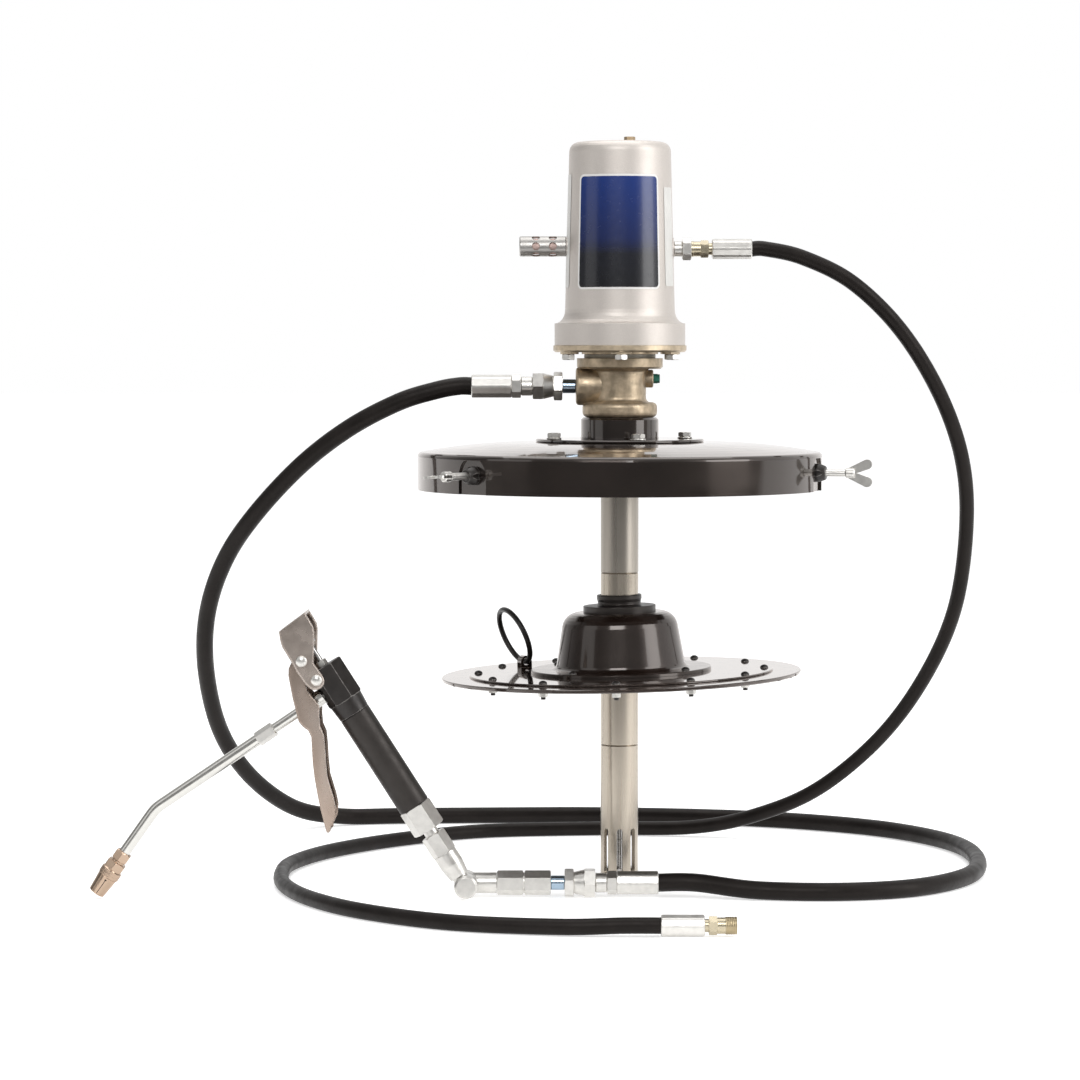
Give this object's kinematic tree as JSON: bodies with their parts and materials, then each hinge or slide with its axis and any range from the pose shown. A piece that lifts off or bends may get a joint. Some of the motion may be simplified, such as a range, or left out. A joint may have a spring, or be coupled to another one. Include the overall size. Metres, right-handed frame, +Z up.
{
  "type": "pneumatic grease pump",
  "caption": "Air-powered grease pump on a slotted suction tube, with a domed pail cover, a sliding follower plate, a grease hose with swivels and trigger gun, and an air hose.",
  "frame": {"origin": "centre of the pump tube's open foot, on the floor that the pump stands on", "axes": "+Z up along the pump tube to the air motor; +X towards the air inlet, away from the grease outlet; +Y away from the side on which the gun lies"},
  "size_m": [0.7519, 0.6708, 0.6239],
  "materials": {
    "bell_silver": "satin",
    "bronze_casting": "satin",
    "black_enamel": "gloss",
    "black_oxide": "satin",
    "stainless": "satin",
    "bright_zinc": "polished",
    "blue_zinc": "polished",
    "machined_steel": "machined",
    "aluminium_piston": "machined",
    "copper_coupler": "satin",
    "zinc_yellow": "satin",
    "brass_valve": "machined",
    "lever_nickel": "satin",
    "hose_rubber": "matt",
    "seal_rubber": "satin",
    "wiper_rubber": "gloss",
    "grip_rubber": "matt",
    "gasket_white": "matt",
    "muffler_steel": "satin",
    "sintered_bronze": "matt",
    "vent_tan": "satin",
    "ground_green": "satin"
  },
  "bodies": {
    "pump": {"motor_bell": "bell_silver", "vent_plug": "vent_tan", "exhaust_muffler": "muffler_steel", "muffler_element": "sintered_bronze", "air_inlet_fitting": "bright_zinc", "motor_gasket": "gasket_white", "motor_base": "bronze_casting", "base_bolts": "bright_zinc", "outlet_body": "bronze_casting", "ground_screw": "ground_green", "adapter_collar": "black_enamel", "adapter_plate": "black_enamel", "adapter_bolts": "bright_zinc", "cover": "black_enamel", "clamp_nuts": "black_oxide", "riser_tube": "stainless", "lower_cylinder": "stainless", "intake_tube": "stainless", "union_nipples": "blue_zinc", "hose_unions": "bright_zinc", "hose_swivel_nuts": "bright_zinc", "grease_hose_stems": "bright_zinc", "grease_hose_ferrules": "bright_zinc", "grease_hose": "hose_rubber", "air_hose": "hose_rubber", "air_hose_ferrules": "bright_zinc", "air_hose_stems": "zinc_yellow", "swivel_inlet": "bright_zinc"},
    "drive": {"air_piston": "aluminium_piston", "piston_seal": "seal_rubber", "piston_rod": "machined_steel", "pump_plunger": "machined_steel", "priming_rod": "machined_steel"},
    "air_valve": {"trip_rod": "brass_valve"},
    "inlet_valve": {"intake_check": "machined_steel"},
    "follower": {"follower_seal": "seal_rubber", "follower_dome": "black_enamel", "follower_upper_plate": "black_enamel", "follower_wiper": "wiper_rubber", "follower_lower_plate": "black_enamel", "follower_bolts": "black_oxide", "follower_nuts": "bright_zinc", "ring_clip": "black_enamel"},
    "lift_ring": {"lift_ring": "black_oxide"},
    "clamp_right": {"wing_screw_right": "bright_zinc"},
    "clamp_left": {"wing_screw_left": "bright_zinc"},
    "clamp_rear": {"wing_screw_rear": "bright_zinc"},
    "elbow": {"swivel_elbow": "bright_zinc"},
    "yoke": {"swivel_yoke": "bright_zinc"},
    "gun": {"gun_adapter": "bright_zinc", "gun_nuts": "bright_zinc", "gun_grip": "grip_rubber", "gun_body": "black_oxide", "gun_nozzle": "bright_zinc", "grease_coupler": "copper_coupler", "trigger_pin": "bright_zinc"},
    "trigger": {"trigger_head": "lever_nickel", "trigger_lever": "lever_nickel", "trigger_rivet": "bright_zinc"},
    "valve_stem": {"valve_stem": "machined_steel"}
  },
  "joints": [
    {"name": "pump_stroke", "type": "slide", "parent": "pump", "child": "drive", "axis": [0, 0, 1], "range_m": [0, 0.06]},
    {"name": "valve_shift", "type": "slide", "parent": "pump", "child": "air_valve", "axis": [0, 0, 1], "range_m": [0, 0.006]},
    {"name": "intake_check_lift", "type": "slide", "parent": "pump", "child": "inlet_valve", "axis": [0, 0, 1], "range_m": [0, 0.004]},
    {"name": "follower_slide", "type": "slide", "parent": "pump", "child": "follower", "axis": [0, 0, 1], "range_m": [-0.11, 0.1]},
    {"name": "ring_swing", "type": "hinge", "parent": "follower", "child": "lift_ring", "pos_m": [-0.0803, 0.055, 0.17898], "axis": [-0.4193, 0.9078, -0.011], "range_deg": [-40, 20]},
    {"name": "clamp_right_travel", "type": "slide", "parent": "pump", "child": "clamp_right", "axis": [-0.9613, 0.2756, 0], "range_m": [-0.008, 0.012]},
    {"name": "clamp_left_travel", "type": "slide", "parent": "pump", "child": "clamp_left", "axis": [0.7193, 0.6947, 0], "range_m": [-0.008, 0.012]},
    {"name": "clamp_rear_travel", "type": "slide", "parent": "pump", "child": "clamp_rear", "axis": [0.2419, -0.9703, 0], "range_m": [-0.008, 0.012]},
    {"name": "hose_swivel", "type": "hinge", "parent": "pump", "child": "elbow", "pos_m": [-0.102, -0.11, 0.0124], "axis": [1, 0, 0], "range_deg": [-5, 35]},
    {"name": "elbow_tilt", "type": "hinge", "parent": "elbow", "child": "yoke", "pos_m": [-0.127, -0.119, 0.0124], "axis": [0, 1, 0], "range_deg": [0, 30]},
    {"name": "gun_turn", "type": "hinge", "parent": "yoke", "child": "gun", "pos_m": [-0.127, -0.128, 0.0124], "axis": [-0.5388, 0, 0.8425], "range_deg": [-40, 40]},
    {"name": "trigger_squeeze", "type": "hinge", "parent": "gun", "child": "trigger", "pos_m": [-0.246, -0.12752, 0.18142], "axis": [-0.0441, -0.9986, -0.0282], "range_deg": [0, 14], "stiffness_Nm_per_rad": 1.5, "springref_deg": -17.19},
    {"name": "stem_lift", "type": "slide", "parent": "gun", "child": "valve_stem", "axis": [-0.5388, 0, 0.8425], "range_m": [0, 0.0026]}
  ],
  "couplings": [
    {"joint": "stem_lift", "follows": "trigger_squeeze", "m_per_rad": 0.0105}
  ]
}
